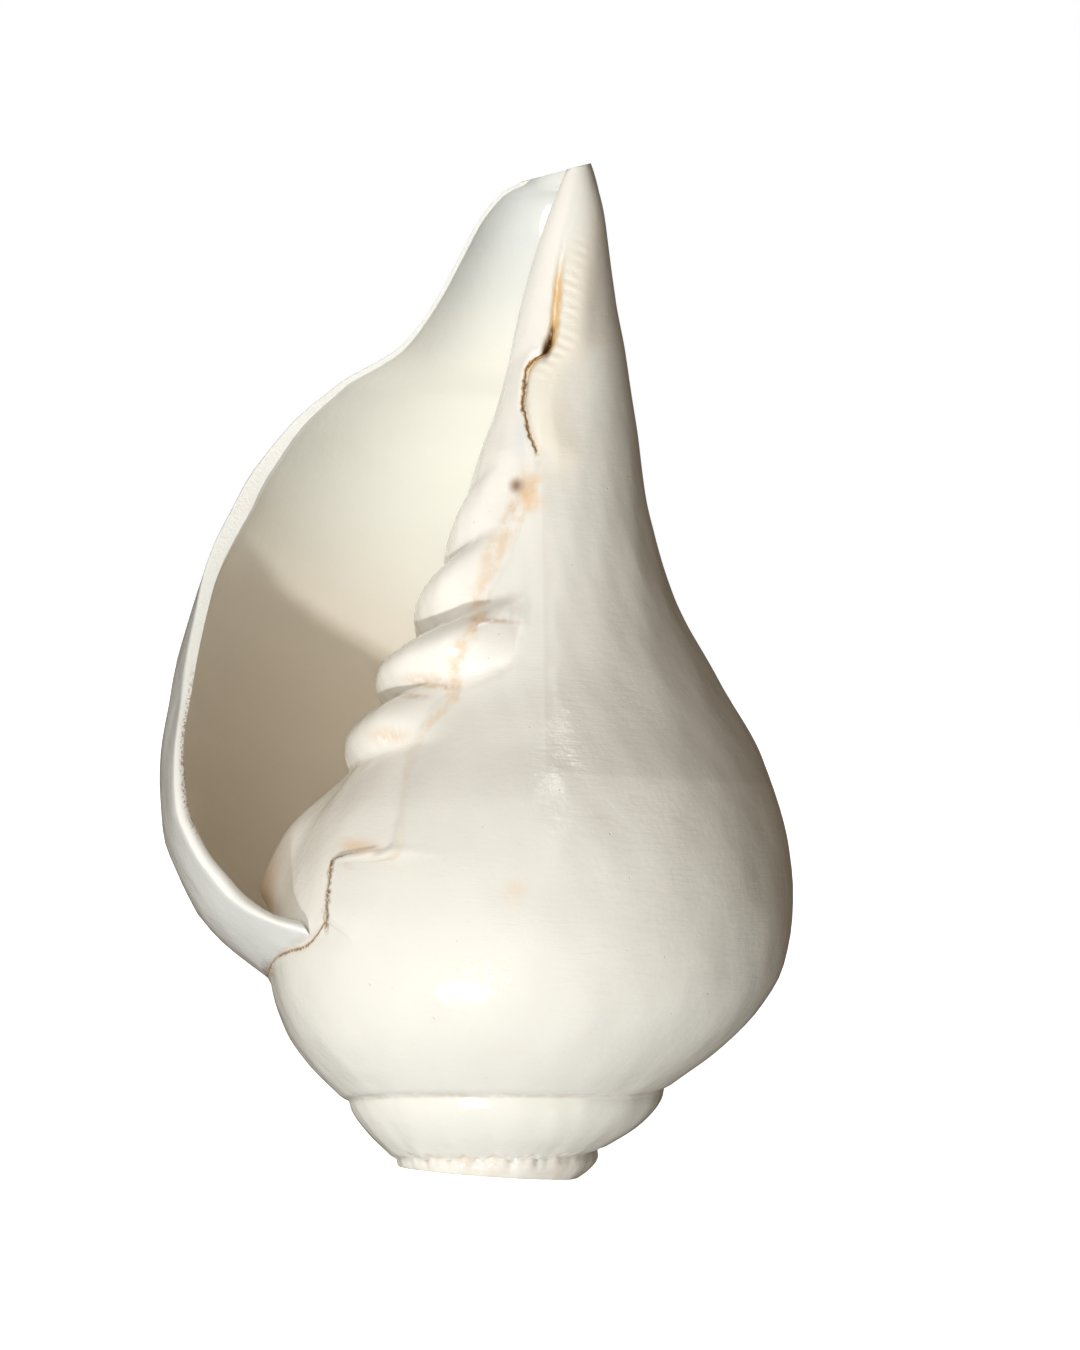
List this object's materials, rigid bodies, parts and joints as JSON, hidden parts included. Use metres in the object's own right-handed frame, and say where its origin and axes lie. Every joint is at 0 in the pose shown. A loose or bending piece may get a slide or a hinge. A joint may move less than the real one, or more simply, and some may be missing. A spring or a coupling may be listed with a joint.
{
  "type": "conch shell",
  "caption": "Polished right-handed conch shell with a wide open mouth, plaited column and long canal, ground flat across the spire and standing on that cut.",
  "frame": {"origin": "centre of the flat cut across the spire, which the shell stands on", "axes": "+Z along the coiling axis from the cut to the canal tip, -Y out of the front, where the mouth is on the left, +X to the right"},
  "size_m": [0.0804, 0.0727, 0.1269],
  "materials": {
    "shell": "polished shell, creamy white, glossy"
  },
  "bodies": {
    "root": {"conch_shell": "shell"}
  },
  "joints": []
}
